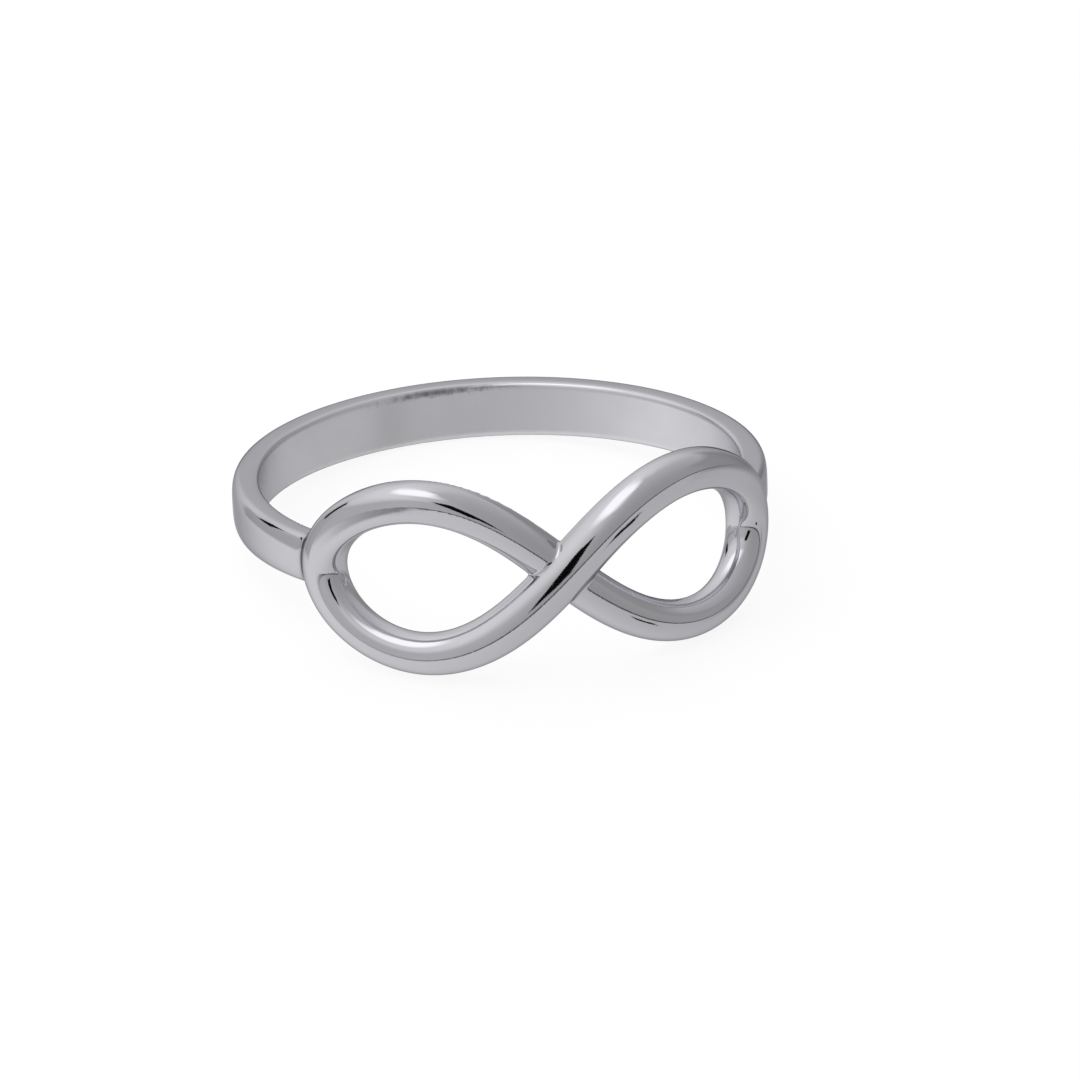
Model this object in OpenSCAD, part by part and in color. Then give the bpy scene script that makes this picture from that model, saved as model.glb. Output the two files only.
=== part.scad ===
// Infinity ring: a band that runs into a figure eight of wire, made as one piece of silver.
// It lies on its side on z = 0, on the two loops and the back of the band, with the figure eight towards -Y.
// Below, a place on the ring is an angle round the finger from the front, a radius and a height.

/* [Finger hole] */
// Inside diameter of the ring
bore_d = 17; // [14:0.1:22]

/* [Band] */
// Width of the band at the back, along the finger
band_w_back = 2.1; // [1.4:0.05:3.5]
// Width of the band where it runs into the figure eight
band_w_front = 1.75; // [1.2:0.05:3]
// Thickness of the band at the back
band_t_back = 1.05; // [0.8:0.05:1.6]
// Thickness of the band where it runs into the figure eight
band_t_front = 0.9; // [0.7:0.05:1.3]

/* [Figure eight] */
// Length of the figure eight round the finger, between the wire's centres
eight_l = 17.5; // [15:0.1:21]
// Height of the figure eight along the finger, between the wire's centres
eight_h = 5.45; // [4.5:0.05:8]
// Thickness of the wire at the two ends of the figure eight
wire_t_end = 1.45; // [1.3:0.05:2.2]
// Thickness of the wire at the crossing, as a mean of the two strands
wire_t_cross = 1.1; // [1:0.05:2]
// Width of the wire at the two ends of the figure eight
wire_w_end = 1.55; // [1.2:0.05:2]
// Width of the wire on the loops' flanks, where it is slimmest
wire_w_flank = 1.35; // [1:0.05:2]
// Width of the strand that passes over, at the crossing
wire_w_over = 1.7; // [1:0.05:2.2]
// Width of the strand that passes under, at the crossing
wire_w_under = 1.55; // [1:0.05:2.2]
// How much further out the upper strand stands than the lower one
cross_step = 0.4; // [0.1:0.02:0.8]

/* [Hidden] */

// How square a section is: 2 is an oval, more is squarer. Upper strands are squarer towards the eyes.
band_power = 3.5;
band_inner_power = 3;
wire_power = 2.2;
wire_inner_power = 2;
eye_power = 5;
// How far up its loop a strand is fully square towards the eye: 0 is the end, 1 the top
eye_power_rise = 0.7;
// Distance from the finger hole to the band's widest line
band_seat = 0.45;
// Share of the wire's thickness that lies inside its widest line
seat_end = 0.5;
seat_cross = 0.2;
// How deep the finger hole cuts into the round inner side of each section
band_cut = 0.35;
wire_cut = 0.05;
// How much blunter than a cosine the loops' ends are, and how much slimmer than a sine their flanks
end_blunt = 0.055;
flank_slim = 0.077;
// How far the right loop leans, with its top towards the crossing and its foot away from it
loop_lean = 0.14;
// How late the wire widens towards the crossing and towards the loops' ends: 1 is evenly
cross_swell = 2;
end_swell = 6;
// Facets round a section, and sections along a strand and along the band
section_sides = 20;
strand_sections = 60;
band_sections = 48;

bore_r = bore_d / 2;
// Half the angle round the finger that the figure eight takes up
front_angle = eight_l / (bore_d + (wire_t_end + wire_t_cross) / 2) * 180 / PI;

// The same power of the size of x on both sides of zero
function keep_sign(x, power) = sign(x) * pow(abs(x), power);

function between(a, b, share) = a + (b - a) * share;

function on_ring(angle, r, z) = [r * sin(angle), -r * cos(angle), z];

function unit(v) = v / norm(v);

// A rounded section as steps [outwards, sideways] from the middle of its widest line
// Its powers are for the outer side's plus and minus halves and for the inner side
function section(w, outer, inner, powers) = [
    for (i = [0:section_sides - 1])
        let (turn = 360 * i / section_sides)
        let (power = sin(turn) <= 0 ? powers[2] : cos(turn) > 0 ? powers[0] : powers[1])
        let (out = keep_sign(sin(turn), 2 / power))
        [out * (out > 0 ? outer : inner), w / 2 * keep_sign(cos(turn), 2 / power)]
];

// Middle line of the wire: t runs once round the figure eight, and the strands cross at 90 and 270
function crossness(t) = pow(sin(t), 2);
function eight_lean(t) = loop_lean / bore_r * sin(2 * t) * (1 + cos(t)) * 180 / PI;
function eight_angle(t) = front_angle * (cos(t) + end_blunt * cos(3 * t)) / (1 + end_blunt) - eight_lean(t);
function eight_z(t) = eight_h / 2 * (sin(2 * t) - flank_slim * sin(4 * t));
function eight_step(t) = cross_step / 2 * pow(sin(t), 3);
function wire_t(t) = between(wire_t_end, wire_t_cross, crossness(t));
function wire_w(t) =
    let (crossing = sin(t) > 0 ? wire_w_over : wire_w_under)
    between(wire_w_flank, crossing, pow(crossness(t), cross_swell))
        + (wire_w_end - wire_w_flank) * pow(1 - crossness(t), end_swell);
function wire_seat(t) = wire_t(t) * between(seat_end, seat_cross, crossness(t)) + eight_step(t);
function eight_middle(t) = on_ring(eight_angle(t), bore_r + wire_seat(t), eight_z(t));

// The eye lies on the minus side of the right loop's wire and on the plus side of the left loop's
function wire_powers(t) =
    let (risen = min(max(sin(2 * t) / eye_power_rise, 0), 1))
    let (eye = between(wire_power, eye_power, risen * (1 - pow(crossness(t), 2))))
    cos(t) < 0 ? [eye, wire_power, wire_inner_power] : [wire_power, eye, wire_inner_power];

function eight_section(t) =
    let (along = unit(eight_middle(t + 1) - eight_middle(t - 1)))
    let (side = unit(cross(along, on_ring(eight_angle(t), 1, 0))))
    let (out = cross(side, along))
    let (outer = wire_t(t) + eight_step(t) - wire_seat(t))
    let (inner = wire_seat(t) + wire_cut)
    [for (p = section(wire_w(t), outer, inner, wire_powers(t))) eight_middle(t) + p[0] * out + p[1] * side];

// Share of the way from the front ends of the band, 0, to its back, 1
function backness(angle) = (cos(front_angle) - cos(angle)) / (1 + cos(front_angle));

function band_section(angle) =
    let (w = between(band_w_front, band_w_back, backness(angle)))
    let (t = between(band_t_front, band_t_back, backness(angle)))
    [for (p = section(w, t - band_seat, band_seat + band_cut, [band_power, band_power, band_inner_power]))
        on_ring(angle, bore_r + band_seat + p[0], -p[1])];

// Each strand runs from one end of the figure eight to the other, and the two meet face to face
function strand_rings(start) = [
    for (i = [0:strand_sections]) eight_section(start + 180 * i / strand_sections)
];
upper_rings = strand_rings(0);
lower_rings = strand_rings(180);
band_rings = [
    for (i = [0:band_sections])
        band_section(between(front_angle, 360 - front_angle, i / band_sections))
];

// Rest: the ring tips back until the loops and the back of the band are equally low
eight_points = [for (ring = concat(upper_rings, lower_rings)) each ring];
band_points = [for (ring = band_rings) each ring];
function height(p, tip) = p[2] * cos(tip) - p[1] * sin(tip);
function lowest(points, tip) =
    let (floor_z = min([for (p = points) height(p, tip)]))
    [for (p = points) if (height(p, tip) == floor_z) p][0];
function settle(tip, tries) =
    let (loops = lowest(eight_points, tip), back = lowest(band_points, tip))
    tries == 0 ? tip : settle(atan((loops[2] - back[2]) / (loops[1] - back[1])), tries - 1);
rest_tip = settle(0, 5);
rest_y = [for (p = concat(eight_points, band_points)) p[1] * cos(rest_tip) + p[2] * sin(rest_tip)];
rest_shift = [0, -(min(rest_y) + max(rest_y)) / 2, -height(lowest(band_points, rest_tip), rest_tip)];

// A solid through a row of sections
module tube(rings) {
    last = (len(rings) - 1) * section_sides;
    ends = [
        [for (k = [0:section_sides - 1]) section_sides - 1 - k],
        [for (k = [0:section_sides - 1]) last + k]
    ];
    walls = [
        for (i = [0:len(rings) - 2], k = [0:section_sides - 1])
            let (a = i * section_sides + k, b = i * section_sides + (k + 1) % section_sides)
            each [[a, b, b + section_sides], [a, b + section_sides, a + section_sides]]
    ];
    polyhedron([for (ring = rings) each ring], concat(ends, walls));
}

module band() {
    tube(band_rings);
}

module figure_eight() {
    tube(upper_rings);
    tube(lower_rings);
}

module finger_bore() {
    cylinder(r = bore_r, h = 2 * eight_h, center = true, $fn = 120);
}

module infinity_ring() {
    color("silver")
        translate(rest_shift)
            rotate([-rest_tip, 0, 0])
                difference() {
                    union() {
                        band();
                        figure_eight();
                    }
                    finger_bore();
                }
}

infinity_ring();
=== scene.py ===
import math

import bmesh
import bpy
import numpy as np
from mathutils import Matrix


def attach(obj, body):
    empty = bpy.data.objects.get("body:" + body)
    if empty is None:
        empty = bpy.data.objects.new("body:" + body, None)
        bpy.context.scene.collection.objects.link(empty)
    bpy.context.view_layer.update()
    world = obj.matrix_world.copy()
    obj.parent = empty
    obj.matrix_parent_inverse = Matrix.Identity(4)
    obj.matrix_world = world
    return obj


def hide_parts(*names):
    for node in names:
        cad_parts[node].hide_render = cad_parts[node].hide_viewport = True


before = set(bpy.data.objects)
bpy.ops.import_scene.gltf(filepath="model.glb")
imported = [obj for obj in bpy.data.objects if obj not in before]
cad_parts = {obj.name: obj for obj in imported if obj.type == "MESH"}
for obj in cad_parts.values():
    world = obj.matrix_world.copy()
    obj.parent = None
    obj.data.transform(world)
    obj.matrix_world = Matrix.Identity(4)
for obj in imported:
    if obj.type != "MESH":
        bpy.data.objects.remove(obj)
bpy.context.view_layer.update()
print("frame loaded")

# The ring's sizes in millimetres, as in the solid, before it tips back to lie on its loops.
# A power says how square a section is: 2 is round, and more is squarer.
ringSizes = {
    "holeRadius": 8.5,
    "restTip": 8.3767,  # degrees that the finger hole leans back
    "restShift": (0, 0.13969, 2.3579),  # sets the tipped ring on its loops
    "eightLength": 17.5,  # round the finger, from middle to middle of the wire
    "eightHeight": 5.45,
    "wireThickEnd": 1.45,
    "wireThickCross": 1.1,
    "wireWidthEnd": 1.55,
    "wireWidthFlank": 1.35,
    "wireWidthOver": 1.7,  # the strand that passes over, at the crossing
    "wireWidthUnder": 1.55,
    "crossSwell": 2,  # how late the wire widens towards the crossing: 1 is evenly
    "endSwell": 6,  # the same towards the loops' ends
    "crossStep": 0.4,  # how far the upper strand stands out over the lower one
    "wireSeatEnd": 0.5,  # share of the thickness inside the wire's widest line
    "wireSeatCross": 0.2,
    "wireCut": 0.05,  # how deep the finger hole cuts into the wire's inner side
    "wirePower": 2.2,
    "wireInnerPower": 2,
    "eyePower": 5,  # the upper strands, on the side of the eyes
    "eyePowerRise": 0.7,  # how far up its loop that side is square: 0 is the end, 1 the top
    "endTaper": 0.055,  # makes the loops' ends more pointed than a plain wave
    "flankSlim": 0.077,  # makes the loops slimmer towards their ends
    "loopLean": 0.14,  # how far the right loop leans towards the crossing
    "bandWidthBack": 2.1,
    "bandWidthFront": 1.75,  # where it meets the loops
    "bandThickBack": 1.05,
    "bandThickFront": 0.9,
    "bandSeat": 0.45,  # from the finger hole to the band's widest line
    "bandCut": 0.35,  # how deep the finger hole cuts into the band's inner side
    "bandPower": 3.5,
    "bandInnerPower": 3,
}

# How the edges and the places where strands and band meet are rounded, in millimetres,
# and how fine and even the mesh is
ringForm = {
    "voxel": 0.08,
    "weld": 0.001,
    "shoulderFillet": 0.5,
    "crossFillet": 0.14,
    "crossReach": 3.0,  # how far from the crossing its fillet fades out
    "edgeRound": 0.14,  # rims of the finger hole
    "relaxRounds": 6,
    "relaxShare": 0.6,  # how much of the way each point moves in a round
    "satinStart": 0.01,  # from the hole's wall to where the satin starts to fade
    "satinFade": 0.09,
}

holeRadius = ringSizes["holeRadius"]
wireThickMean = (ringSizes["wireThickEnd"] + ringSizes["wireThickCross"]) / 2
frontAngle = ringSizes["eightLength"] / (2 * holeRadius + wireThickMean)  # half the eight's angle
restTurn = np.array(Matrix.Rotation(-math.radians(ringSizes["restTip"]), 3, "X"))
restShift = np.array(ringSizes["restShift"])
tinyTurn = 1e-3  # a step along the wire, for its direction
tinySize = 1e-3  # keeps divisions away from zero


# From the ring's own millimetres to metres in the frame, and back
def toRest(points):
    return (points @ restTurn.T + restShift) * 0.001


def fromRest(points):
    return (points * 1000 - restShift) @ restTurn


def between(a, b, share):
    return a + (b - a) * share


# Angle 0 is the front of the ring, and the radius is counted from the finger hole's axis
def onRing(angle, radius, height):
    return np.stack([radius * np.sin(angle), -radius * np.cos(angle), height + 0 * angle], -1)


def unit(v):
    return v / np.linalg.norm(v, axis=-1, keepdims=True)


def dot(a, b):
    return (a * b).sum(-1)


# The wire: t runs once round the figure eight, and its strands cross at 90 and 270 degrees
def crossness(t):
    return np.sin(t) ** 2


def eightAngle(t):
    taper = ringSizes["endTaper"]
    lean = ringSizes["loopLean"] / holeRadius * np.sin(2 * t) * (1 + np.cos(t))
    return frontAngle * (np.cos(t) + taper * np.cos(3 * t)) / (1 + taper) - lean


def wireStep(t):
    return ringSizes["crossStep"] / 2 * np.sin(t) ** 3


def wireThick(t):
    return between(ringSizes["wireThickEnd"], ringSizes["wireThickCross"], crossness(t))


def wireWidth(t):
    middle = np.where(np.sin(t) > 0, ringSizes["wireWidthOver"], ringSizes["wireWidthUnder"])
    flank = ringSizes["wireWidthFlank"]
    swell = (ringSizes["wireWidthEnd"] - flank) * (1 - crossness(t)) ** ringSizes["endSwell"]
    return between(flank, middle, crossness(t) ** ringSizes["crossSwell"]) + swell


# From the finger hole to the wire's middle line, which is where it is widest
def wireSeat(t):
    share = between(ringSizes["wireSeatEnd"], ringSizes["wireSeatCross"], crossness(t))
    return wireThick(t) * share + wireStep(t)


def wireMiddle(t):
    wave = np.sin(2 * t) - ringSizes["flankSlim"] * np.sin(4 * t)
    return onRing(eightAngle(t), holeRadius + wireSeat(t), ringSizes["eightHeight"] / 2 * wave)


# The section's power on the side of the eyes, which only the upper strands have squarer
def eyePower(t):
    rise = np.clip(np.sin(2 * t) / ringSizes["eyePowerRise"], 0, 1)
    share = rise * (1 - crossness(t) ** 2)
    return between(ringSizes["wirePower"], ringSizes["eyePower"], share)


# Distance to a rounded section and its slope, for a place given as steps sideways and
# outwards from the section's middle; inwards it has its own reach and power
def sectionDistance(side, out, halfWidth, outer, inner, power, innerPower):
    reach = np.where(out > 0, outer, inner)
    power = np.where(out > 0, power, innerPower)
    a = np.abs(side) / halfWidth
    b = np.abs(out) / reach
    size = np.maximum((a**power + b**power) ** (1 / power), tinySize)
    shrink = size ** (1 - power)
    slope = np.stack([shrink * a ** (power - 1) / halfWidth, shrink * b ** (power - 1) / reach])
    steep = np.maximum(np.hypot(*slope), tinySize)
    return (size - 1) / steep, slope / steep * np.sign([side, out])


# One of the two strands, with the turn t of the place on it that is nearest to each point
class Strand:
    reach = math.radians(125)  # how far t runs each way from the crossing
    endMargin = 0.02  # radians left out at its ends
    farAway = 9.0  # millimetres, the distance given past its ends
    samples = 251  # places on it that are looked through first
    batch = 20000  # points looked up at a time
    firstRounds = 5
    laterRounds = 2

    def __init__(self, middleTurn, points):
        turns = np.linspace(middleTurn - self.reach, middleTurn + self.reach, self.samples)
        line = wireMiddle(turns)
        self.middleTurn = middleTurn
        self.turn = np.empty(len(points))
        for start in range(0, len(points), self.batch):
            some = slice(start, start + self.batch)
            apart = (line**2).sum(1) - 2 * points[some] @ line.T
            self.turn[some] = turns[apart.argmin(1)]
        self.follow(points, self.firstRounds)

    # Moves each point's turn towards the nearest place on the strand's middle line
    def follow(self, points, rounds):
        for _ in range(rounds):
            middle = wireMiddle(self.turn)
            along = (wireMiddle(self.turn + tinyTurn) - middle) / tinyTurn
            self.turn = self.turn + dot(points - middle, along) / dot(along, along)

    def distance(self, points):
        self.follow(points, self.laterRounds)
        t = self.turn
        along = unit(wireMiddle(t + tinyTurn) - wireMiddle(t - tinyTurn))
        side = unit(np.cross(along, onRing(eightAngle(t), 1, 0)))
        out = np.cross(side, along)
        away = points - wireMiddle(t)
        seat = wireSeat(t)
        facesEye = dot(away, side) * np.cos(t) < 0
        found, slope = sectionDistance(
            dot(away, side),
            dot(away, out),
            wireWidth(t) / 2,
            wireThick(t) + wireStep(t) - seat,
            seat + ringSizes["wireCut"],
            np.where(facesEye, eyePower(t), ringSizes["wirePower"]),
            ringSizes["wireInnerPower"],
        )
        inReach = np.abs(t - self.middleTurn) < self.reach - self.endMargin
        slope = slope[0][:, None] * side + slope[1][:, None] * out
        return np.where(inReach, found, self.farAway), slope


def bandDistance(points):
    radius = np.hypot(points[:, 0], points[:, 1])
    angle = np.abs(np.arctan2(points[:, 0], -points[:, 1]))
    back = (math.cos(frontAngle) - np.cos(angle)) / (1 + math.cos(frontAngle))
    back = np.maximum(back, 0)  # 0 where the band meets the loops, 1 at its back
    seat = ringSizes["bandSeat"]
    found, slope = sectionDistance(
        points[:, 2],
        radius - holeRadius - seat,
        between(ringSizes["bandWidthFront"], ringSizes["bandWidthBack"], back) / 2,
        between(ringSizes["bandThickFront"], ringSizes["bandThickBack"], back) - seat,
        seat + ringSizes["bandCut"],
        ringSizes["bandPower"],
        ringSizes["bandInnerPower"],
    )
    outwards = points[:, :2] / radius[:, None]
    slope = np.column_stack([slope[1][:, None] * outwards, slope[0]])
    return np.maximum(found, (frontAngle - angle) * radius), slope


# Two surfaces as one, with a fillet where they meet; each is (distance, slope)
def join(a, b, fillet):
    almostNone = 1e-9
    near = np.maximum(fillet - np.abs(a[0] - b[0]), 0) / np.maximum(2 * fillet, almostNone)
    share = np.where(a[0] < b[0], 1 - near, near)[:, None]
    return np.minimum(a[0], b[0]) - near**2 * fillet, share * a[1] + (1 - share) * b[1]


# The whole ring: both strands and the band, less the finger hole with its rounded rims
def ringDistance(points, strands):
    wires = [strand.distance(points) for strand in strands]
    crossing = onRing(np.zeros(1), holeRadius + ringSizes["wireThickCross"], 0)[0]
    away = np.linalg.norm(points - crossing, axis=1) / ringForm["crossReach"]
    wire = join(*wires, ringForm["crossFillet"] * np.clip(1 - away, 0, 1) ** 0.5)
    found, slope = join(wire, bandDistance(points), ringForm["shoulderFillet"])
    radius = np.hypot(points[:, 0], points[:, 1])
    hole = (radius - holeRadius, points * [1, 1, 0] / radius[:, None])
    found, slope = join((-found, -slope), hole, ringForm["edgeRound"])
    return -found, -slope


# The exact slope, which also follows how the sections change along the ring
def ringSlope(points, strands):
    apart = 0.002  # millimetres
    slope = []
    for step in np.eye(3) * apart:
        ahead, behind = (ringDistance(points + s, strands)[0] for s in (step, -step))
        slope.append(ahead - behind)
    return unit(np.stack(slope, -1))


# Moves points onto the ring's surface, and gives the slope there
def ontoRing(points, strands, rounds):
    leastSteep = 0.2  # a flatter slope would send a point too far
    longestStep = 0.2  # millimetres
    for _ in range(rounds):
        found, slope = ringDistance(points, strands)
        move = found[:, None] * slope / np.maximum(dot(slope, slope), leastSteep)[:, None]
        points = points - np.clip(move, -longestStep, longestStep)
    return points, unit(slope)


# Moves points along the surface to the middle of their neighbours, for even squares
def relax(points, normal, edges):
    starts, ends = edges.T
    count = np.bincount(edges.ravel(), minlength=len(points))[:, None]
    total = np.empty_like(points)
    for axis, p in enumerate(points.T):
        total[:, axis] = np.bincount(starts, p[ends], len(p)) + np.bincount(ends, p[starts], len(p))
    drift = total / count - points
    return points + ringForm["relaxShare"] * (drift - dot(drift, normal)[:, None] * normal)


def readPoints(mesh):
    places = np.empty(len(mesh.vertices) * 3)
    mesh.vertices.foreach_get("co", places)
    return places.reshape(-1, 3)


# The solid's mesh cut into even small squares, in the ring's own millimetres
def makeEvenRing(name):
    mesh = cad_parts["infinity_ring"].data.copy()
    mesh.vertices.foreach_set("co", fromRest(readPoints(mesh)).ravel())
    b = bmesh.new()
    b.from_mesh(mesh)
    bmesh.ops.remove_doubles(b, verts=b.verts, dist=ringForm["weld"])
    b.to_mesh(mesh)
    b.free()
    ring = bpy.data.objects.new(name, mesh)
    bpy.context.scene.collection.objects.link(ring)
    voxels = ring.modifiers.new("voxels", "REMESH")
    voxels.mode = "VOXEL"
    voxels.voxel_size = ringForm["voxel"]
    remeshed = ring.evaluated_get(bpy.context.evaluated_depsgraph_get())
    squares = bpy.data.meshes.new_from_object(remeshed)
    ring.modifiers.clear()
    ring.data = squares
    return ring


# The even squares drawn onto the smooth surface, with its exact slope as their shading
def makeRing(name):
    ring = makeEvenRing(name)
    mesh = ring.data
    points = readPoints(mesh)
    edges = np.empty(len(mesh.edges) * 2, int)
    mesh.edges.foreach_get("vertices", edges)
    edges = edges.reshape(-1, 2)
    strands = [Strand(math.pi / 2, points), Strand(math.pi * 3 / 2, points)]
    points, normal = ontoRing(points, strands, rounds=3)
    for _ in range(ringForm["relaxRounds"]):
        points, normal = ontoRing(relax(points, normal, edges), strands, rounds=1)
    points, normal = ontoRing(points, strands, rounds=2)
    mesh.vertices.foreach_set("co", toRest(points).ravel())
    mesh.shade_smooth()
    mesh.normals_split_custom_set_from_vertices(ringSlope(points, strands) @ restTurn.T)
    depth = np.hypot(points[:, 0], points[:, 1]) - holeRadius
    fingerSide = np.clip(1 - (depth - ringForm["satinStart"]) / ringForm["satinFade"], 0, 1)
    mesh.attributes.new("fingerSide", "FLOAT", "POINT").data.foreach_set("value", fingerSide)
    mesh.materials.clear()
    print("ring shaped:", len(points), "points")
    return ring


# Node helpers: a value may be a number, a colour or another node's output
def feed(tree, socket, value):
    if isinstance(value, bpy.types.NodeSocket):
        tree.links.new(value, socket)
    else:
        socket.default_value = value


def feedAll(tree, node, values):
    for name, value in values.items():
        feed(tree, node.inputs[name], value)
    return node.outputs


def calc(tree, operation, *values):
    node = tree.nodes.new("ShaderNodeMath")
    node.operation = operation
    for socket, value in zip(node.inputs, values):
        feed(tree, socket, value)
    return node.outputs["Value"]


def vectorCalc(tree, operation, *values):
    node = tree.nodes.new("ShaderNodeVectorMath")
    node.operation = operation
    for socket, value in zip(node.inputs, values):
        feed(tree, socket, value)
    return node.outputs["Value" if operation == "LENGTH" else "Vector"]


def ramp(tree, value, start, end, low=0.0, high=1.0):
    node = tree.nodes.new("ShaderNodeMapRange")
    node.interpolation_type = "SMOOTHSTEP"
    values = {"Value": value, "From Min": start, "From Max": end, "To Min": low, "To Max": high}
    return feedAll(tree, node, values)["Result"]


# The Mix node names its sockets alike for every kind: 6 and 7 are its colours, 2 their mix
def mix(tree, share, a, b):
    node = tree.nodes.new("ShaderNodeMix")
    node.data_type = "RGBA"
    feed(tree, node.inputs["Factor"], share)
    feed(tree, node.inputs[6], a)
    feed(tree, node.inputs[7], b)
    return node.outputs[2]


def noise(tree, vector, scale, detail=2.0, roughness=0.5):
    node = tree.nodes.new("ShaderNodeTexNoise")
    values = {"Vector": vector, "Scale": scale, "Detail": detail, "Roughness": roughness}
    return feedAll(tree, node, values)["Fac"]


def useGroup(tree, group, values):
    node = tree.nodes.new("ShaderNodeGroup")
    node.node_tree = group
    return feedAll(tree, node, values)


# A new group with named inputs, given as {name: default}, and one output, its mask
def newGroup(name, inputs):
    group = bpy.data.node_groups.new(name, "ShaderNodeTree")
    for title, value in inputs.items():
        kind = "NodeSocketVector" if isinstance(value, tuple) else "NodeSocketFloat"
        socket = group.interface.new_socket(title, in_out="INPUT", socket_type=kind)
        socket.default_value = value
    group.interface.new_socket("Mask", in_out="OUTPUT", socket_type="NodeSocketFloat")
    given = group.nodes.new("NodeGroupInput").outputs
    return group, given, group.nodes.new("NodeGroupOutput").inputs["Mask"]


silverLook = {
    "colour": (0.8, 0.789, 0.834, 1),
    # the finger side's satin silver, made lighter than the outside as painted light on the inside
    # of the band
    "satinColourAndPaintedLight": (0.97, 0.958, 1.0, 1),
    "rimTint": (0.5, 0.5, 0.52, 1),  # darkens the silver where it is seen edge on
    "polished": 0.045,  # roughness outside
    "satin": 0.3,  # roughness of the finger side
    "smudgeSize": 1.3,  # millimetres
    "smudgeCover": 0.42,  # more covers more of the surface
    "smudgeDulls": 0.018,  # added to the roughness
    "smudgeDepth": 0.3,  # share of the bump's height
    "scratchSize": 0.05,  # millimetres
    "scratchThin": 0.06,  # a line's width as a share of its length
    "scratchDulls": 0.02,
    "scratchDepth": 0.1,
    "satinScratchDepth": 0.15,  # added to that on the finger side
    "rimDulls": 0.04,  # wear along the rims of the finger hole
    "bump": 0.35,  # strength
    "bumpHeight": 0.000004,  # metres
    "tarnish": (0.7, 0.685, 0.71, 1),
    "tarnishAmount": 0.16,
    "tarnishSize": 2.6,
    "tarnishCover": 0.5,
    # a darker ragged patch mixed into the colour, high on the inside of the band's back
    "darkPatch": (0.33, 0.325, 0.34, 1),  # dark, high on the inside of the band's back
    "darkPatchAt": (-0.3, 8.4, 0.88),  # millimetres, before the ring tips back
    "darkPatchHalf": (2.7, 0.9, 0.24),
    "darkPatchGrain": 0.25,
    "darkPatchRagged": 1.6,
}


# Soft uneven patches, such as finger marks and thin tarnish
def makeSmudges():
    group, given, mask = newGroup("smudges", {"Vector": (0, 0, 0), "Size": 1.0, "Cover": 0.5})
    softness = 0.18
    scale = calc(group, "DIVIDE", 1000, given["Size"])
    cloud = noise(group, given["Vector"], scale, detail=4, roughness=0.6)
    edge = calc(group, "SUBTRACT", 1, given["Cover"])
    low = calc(group, "SUBTRACT", edge, softness)
    high = calc(group, "ADD", edge, softness)
    feed(group, mask, ramp(group, cloud, low, high))
    return group


# Fine lines that polishing leaves, long one way and thin the other
def makePolishingLines():
    inputs = {"Vector": (0, 0, 0), "Size": 0.05, "Stretch": (1, 1, 1)}
    group, given, mask = newGroup("polishingLines", inputs)
    faint = 0.56  # the noise's levels where a line starts and where it is full
    strong = 0.7
    stretched = vectorCalc(group, "MULTIPLY", given["Vector"], given["Stretch"])
    lines = noise(group, stretched, calc(group, "DIVIDE", 1000, given["Size"]))
    feed(group, mask, ramp(group, lines, faint, strong))
    return group


# One ragged patch round a place: 1 in its middle and 0 past its half size
def makeRaggedPatch():
    inputs = {"Vector": (0, 0, 0), "Middle": (0, 0, 0), "Half Size": (1, 1, 1)}
    inputs |= {"Grain": 0.3, "Ragged": 1.0}
    group, given, mask = newGroup("raggedPatch", inputs)
    away = vectorCalc(group, "SUBTRACT", given["Vector"], given["Middle"])
    away = vectorCalc(group, "DIVIDE", away, given["Half Size"])
    away = vectorCalc(group, "LENGTH", away)
    scale = calc(group, "DIVIDE", 1000, given["Grain"])
    grain = noise(group, given["Vector"], scale, detail=4, roughness=0.7)
    grain = calc(group, "MULTIPLY", calc(group, "SUBTRACT", grain, 0.5), given["Ragged"])
    away = calc(group, "ADD", away, grain)
    feed(group, mask, ramp(group, away, 0, 1, low=1, high=0))
    return group


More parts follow.
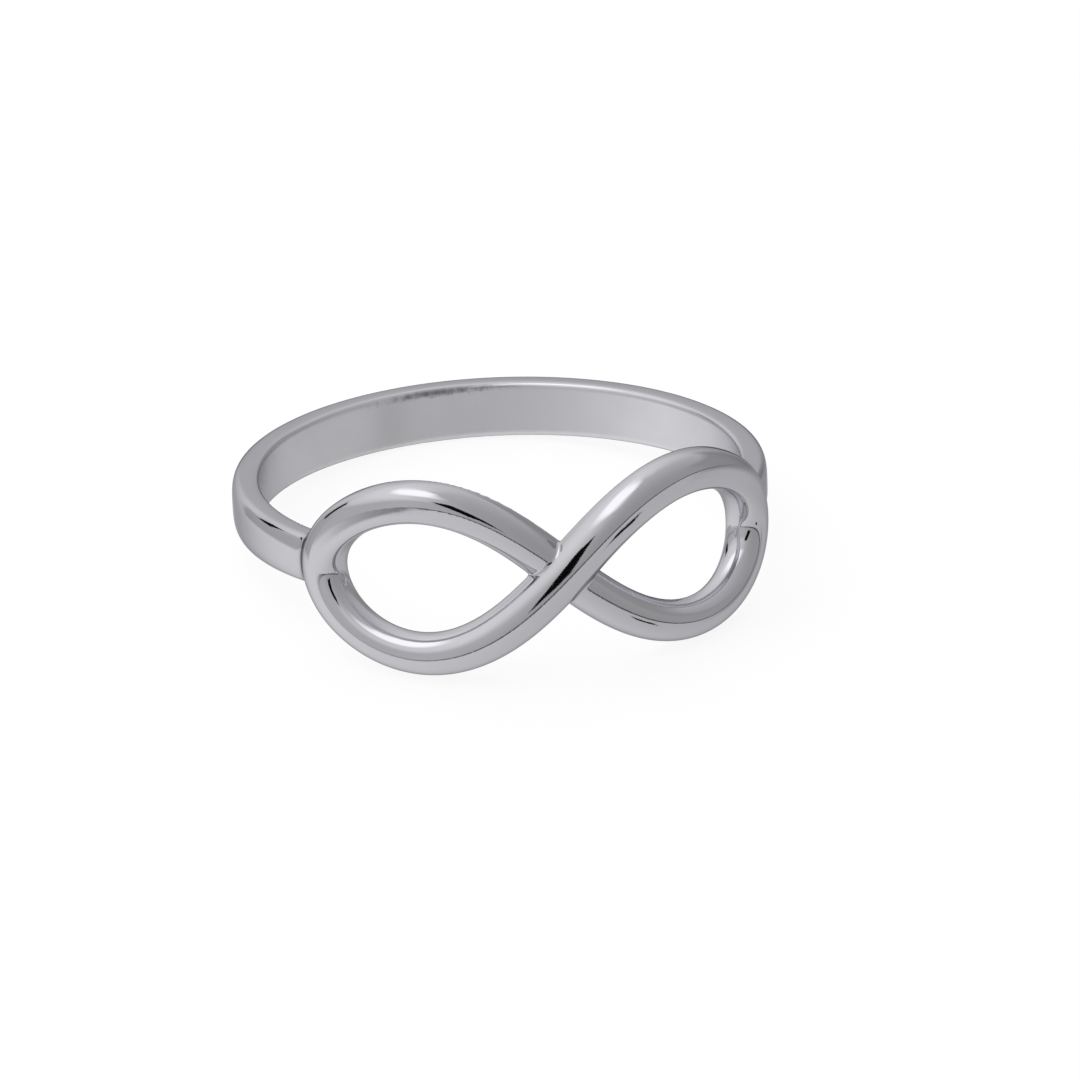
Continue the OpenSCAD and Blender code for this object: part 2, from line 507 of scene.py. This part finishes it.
def makePolishedSilver():
    silver = bpy.data.materials.new("polishedSilver")
    silver.use_nodes = True
    tree = silver.node_tree
    shader = tree.nodes["Principled BSDF"]
    shader.inputs["Metallic"].default_value = 1
    shader.inputs["Specular Tint"].default_value = silverLook["rimTint"]
    place = tree.nodes.new("ShaderNodeTexCoord").outputs["Object"]
    fingerSide = tree.nodes.new("ShaderNodeAttribute")
    fingerSide.attribute_name = "fingerSide"
    inside = fingerSide.outputs["Fac"]
    smudges = makeSmudges()
    polishingLines = makePolishingLines()

    def times(a, b):
        return calc(tree, "MULTIPLY", a, b)

    def plus(a, b):
        return calc(tree, "ADD", a, b)

    def smudged(size, cover):
        values = {"Vector": place, "Size": silverLook[size], "Cover": silverLook[cover]}
        return useGroup(tree, smudges, values)["Mask"]

    def scratched(*stretch):
        values = {"Vector": place, "Size": silverLook["scratchSize"], "Stretch": stretch}
        return useGroup(tree, polishingLines, values)["Mask"]

    marks = smudged("smudgeSize", "smudgeCover")
    tarnish = times(smudged("tarnishSize", "tarnishCover"), silverLook["tarnishAmount"])
    thin = silverLook["scratchThin"]
    lines = calc(tree, "MAXIMUM", scratched(1, 1, thin), scratched(thin, 1, 1))
    rim = calc(tree, "SUBTRACT", inside, times(inside, inside))
    rim = times(rim, 4)  # 1 halfway over the rim and 0 to both sides of it
    patch = {
        "Vector": place,
        "Middle": toRest(np.array(silverLook["darkPatchAt"])),
        "Half Size": np.array(silverLook["darkPatchHalf"]) * 0.001,
        "Grain": silverLook["darkPatchGrain"],
        "Ragged": silverLook["darkPatchRagged"],
    }
    # darkens the colour in a ragged patch high on the inside of the band's back
    darkPatched = times(useGroup(tree, makeRaggedPatch(), patch)["Mask"], inside)

    # the finger side takes the lighter colour, which paints light onto the inside of the band
    colour = mix(tree, inside, silverLook["colour"], silverLook["satinColourAndPaintedLight"])
    colour = mix(tree, tarnish, colour, silverLook["tarnish"])
    colour = mix(tree, darkPatched, colour, silverLook["darkPatch"])
    feed(tree, shader.inputs["Base Color"], colour)

    dull = ramp(tree, inside, 0, 1, silverLook["polished"], silverLook["satin"])
    dull = plus(dull, times(marks, silverLook["smudgeDulls"]))
    dull = plus(dull, times(lines, silverLook["scratchDulls"]))
    dull = plus(dull, times(rim, silverLook["rimDulls"]))
    feed(tree, shader.inputs["Roughness"], dull)

    depth = plus(silverLook["scratchDepth"], times(inside, silverLook["satinScratchDepth"]))
    height = plus(times(lines, depth), times(marks, silverLook["smudgeDepth"]))
    bump = tree.nodes.new("ShaderNodeBump")
    bump.inputs["Strength"].default_value = silverLook["bump"]
    bump.inputs["Distance"].default_value = silverLook["bumpHeight"]
    feed(tree, bump.inputs["Height"], height)
    feed(tree, shader.inputs["Normal"], bump.outputs["Normal"])
    return silver


ring = makeRing("silverRing")
ring.data.materials.append(makePolishedSilver())
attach(ring, "root")
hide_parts("infinity_ring")
print("silver made")

# The view, in degrees and millimetres round the middle of the ring before it tips back
photoView = {
    "azimuth": -13.372,
    "elevation": 20.214,
    "roll": 2.428,
    "distance": 258,
    "offset": (-1.395, 1.787),  # from the picture's middle to the ring's, right and up
    "lens": 243.54,
    "sensor": 36,
}


def makeCamera():
    az, el, roll = (math.radians(photoView[k]) for k in ("azimuth", "elevation", "roll"))
    back = np.array([math.sin(az) * math.cos(el), -math.cos(az) * math.cos(el), math.sin(el)])
    level = np.array([math.cos(az), math.sin(az), 0])
    upright = np.cross(back, level)
    right = math.cos(roll) * level - math.sin(roll) * upright
    up = math.sin(roll) * level + math.cos(roll) * upright
    place = photoView["distance"] * back
    place = place - photoView["offset"][0] * right - photoView["offset"][1] * up
    turn = restTurn @ np.stack([right, up, back], 1)
    data = bpy.data.cameras.new("photoCamera")
    data.sensor_width = photoView["sensor"]
    data.lens = photoView["lens"]
    data.clip_start = 0.01
    data.clip_end = 20
    camera = bpy.data.objects.new("photoCamera", data)
    camera.matrix_world = Matrix.Translation(toRest(place)) @ Matrix(turn).to_4x4()
    bpy.context.scene.collection.objects.link(camera)
    bpy.context.scene.camera = camera


makeCamera()
print("camera placed")

studioFloor = {
    "halfSize": 1.5,  # metres
    "paper": (0.3, 0.3, 0.3, 1),
    "glow": 0.83,  # the light that comes up through the paper
}


# White paper, lit from below as well, so that the ring casts only a faint soft shadow
def makeFloor():
    mesh = bpy.data.meshes.new("studioFloor")
    b = bmesh.new()
    bmesh.ops.create_grid(b, x_segments=1, y_segments=1, size=studioFloor["halfSize"])
    b.to_mesh(mesh)
    b.free()
    floor = bpy.data.objects.new("studioFloor", mesh)
    bpy.context.scene.collection.objects.link(floor)
    floor.visible_glossy = False  # the ring mirrors the studio's own lower half instead
    paper = bpy.data.materials.new("studioPaper")
    paper.use_nodes = True
    shader = paper.node_tree.nodes["Principled BSDF"]
    shader.inputs["Base Color"].default_value = studioFloor["paper"]
    shader.inputs["Roughness"].default_value = 1
    shader.inputs["Specular IOR Level"].default_value = 0
    shader.inputs["Emission Color"].default_value = (1, 1, 1, 1)
    shader.inputs["Emission Strength"].default_value = studioFloor["glow"]
    mesh.materials.append(paper)


# The room as the silver mirrors it. The ceiling and the table have a plain brightness,
# and how much it grows to the right and to the back.
studioRoom = {
    "ceiling": (0.505, -0.11, 0.13),
    "table": (0.61, -0.11, 0.05),
    "tableEdge": -10.5,  # degrees of elevation
    "edgeTilt": 4.0,  # degrees that it rises straight to the right
    "edgeSoftness": 1.5,
}

# Lamps and flags round the ring: where they are and half their size, in degrees of azimuth
# and elevation. Azimuth 0 is the viewer's side and grows to the right. How soft and ragged
# an edge is are shares of the half size, and a card leans by so many degrees a degree up.
studioCards = {
    "leftShade": {"at": (-95, 4), "half": (48, 18), "soft": 0.3, "brightness": 0.47},
    "backGlow": {"at": (-168, -4), "half": (13, 28), "soft": 0.2, "brightness": 0.72},
    "glow": {"at": (-120, 55), "half": (80, 22), "soft": 0.6, "brightness": 0.76},
    "keySoftbox": {"at": (-88, 71), "half": (62, 14), "soft": 0.4, "brightness": 1.2},
    "leftPanel": {"at": (-128, -6), "half": (22, 14), "soft": 0.15, "brightness": 0.43},
    "rightShade": {"at": (108, 8), "half": (34, 22), "soft": 0.3, "brightness": 0.31},
    "backShade": {"at": (166, -14), "half": (14, 9), "soft": 0.4, "brightness": 0.2},
    "leftFlag": {"at": (-134, 13), "half": (6, 9), "soft": 0.1, "ragged": 0.5, "brightness": 0.003},
    "cameraFlag": {
        "at": (-14, 17),
        "half": (8, 16),
        "lean": -0.5,
        "soft": 0.06,
        "ragged": 0.5,
        "brightness": 0.003,
    },
    "cornerFlag": {
        "at": (39, -17.5),
        "half": (5, 2.5),
        "soft": 0.1,
        "ragged": 0.5,
        "brightness": 0.003,
    },
}

# The thin dark line just over the table's edge, with its elevation counted from that edge;
# its shade is the share of the light that it leaves
tableLine = {"at": (15, 1.5), "half": (65, 1.5), "soft": 0.6, "shade": 0.12}


# A card with a soft or ragged edge, as a mask over all directions
def makeStudioCard():
    inputs = {"Direction": (0, 0, 0), "Azimuth": 0.0, "Elevation": 0.0}
    inputs |= {"Card Azimuth": 0.0, "Card Elevation": 0.0}
    inputs |= {"Half Width": 10.0, "Half Height": 10.0, "Lean": 0.0}
    inputs |= {"Softness": 0.1, "Ragged": 0.0}
    group, given, mask = newGroup("studioCard", inputs)
    grainScale = 22
    up = calc(group, "SUBTRACT", given["Elevation"], given["Card Elevation"])
    aside = calc(group, "SUBTRACT", given["Azimuth"], given["Card Azimuth"])
    aside = calc(group, "SUBTRACT", aside, calc(group, "MULTIPLY", given["Lean"], up))
    aside = calc(group, "WRAP", aside, 180, -180)
    u = calc(group, "ABSOLUTE", calc(group, "DIVIDE", aside, given["Half Width"]))
    v = calc(group, "ABSOLUTE", calc(group, "DIVIDE", up, given["Half Height"]))
    grain = noise(group, given["Direction"], grainScale, detail=3)
    grain = calc(group, "MULTIPLY", calc(group, "SUBTRACT", grain, 0.5), given["Ragged"])
    away = calc(group, "ADD", calc(group, "MAXIMUM", u, v), grain)
    near = calc(group, "SUBTRACT", 1, given["Softness"])
    far = calc(group, "ADD", 1, given["Softness"])
    feed(group, mask, ramp(group, away, near, far, low=1, high=0))
    return group


def makeStudio():
    world = bpy.data.worlds.new("studioAir")
    world.use_nodes = True
    tree = world.node_tree
    direction = tree.nodes.new("ShaderNodeTexCoord").outputs["Generated"]
    apart = tree.nodes.new("ShaderNodeSeparateXYZ")
    feed(tree, apart.inputs[0], direction)
    x, y, z = apart.outputs
    azimuth = calc(tree, "DEGREES", calc(tree, "ARCTAN2", x, calc(tree, "MULTIPLY", y, -1)))
    elevation = calc(tree, "DEGREES", calc(tree, "ARCSINE", z))
    studioCard = makeStudioCard()

    def sloped(plain, right, back):
        return calc(tree, "MULTIPLY_ADD", x, right, calc(tree, "MULTIPLY_ADD", y, back, plain))

    def blend(share, a, b):
        return calc(tree, "MULTIPLY_ADD", share, calc(tree, "SUBTRACT", b, a), a)

    def cardMask(card, height):
        values = {
            "Direction": direction,
            "Azimuth": azimuth,
            "Elevation": height,
            "Card Azimuth": card["at"][0],
            "Card Elevation": card["at"][1],
            "Half Width": card["half"][0],
            "Half Height": card["half"][1],
            "Lean": card.get("lean", 0),
            "Softness": card["soft"],
            "Ragged": card.get("ragged", 0),
        }
        return useGroup(tree, studioCard, values)["Mask"]

    edge = sloped(studioRoom["tableEdge"], studioRoom["edgeTilt"], 0)
    overEdge = calc(tree, "SUBTRACT", elevation, edge)
    above = ramp(tree, overEdge, -studioRoom["edgeSoftness"], studioRoom["edgeSoftness"])
    light = blend(above, sloped(*studioRoom["table"]), sloped(*studioRoom["ceiling"]))
    for card in studioCards.values():
        light = blend(cardMask(card, elevation), light, card["brightness"])
    dark = calc(tree, "MULTIPLY", light, tableLine["shade"])
    light = blend(cardMask(tableLine, overEdge), light, dark)
    seen = tree.nodes.new("ShaderNodeLightPath").outputs["Is Camera Ray"]
    background = tree.nodes["Background"].inputs
    feed(tree, background["Color"], (1, 1, 1, 1))
    feed(tree, background["Strength"], blend(seen, light, 1))  # the viewer sees plain white
    bpy.context.scene.world = world


makeFloor()
makeStudio()
bpy.context.scene.view_settings.view_transform = "Standard"
print("studio lit")
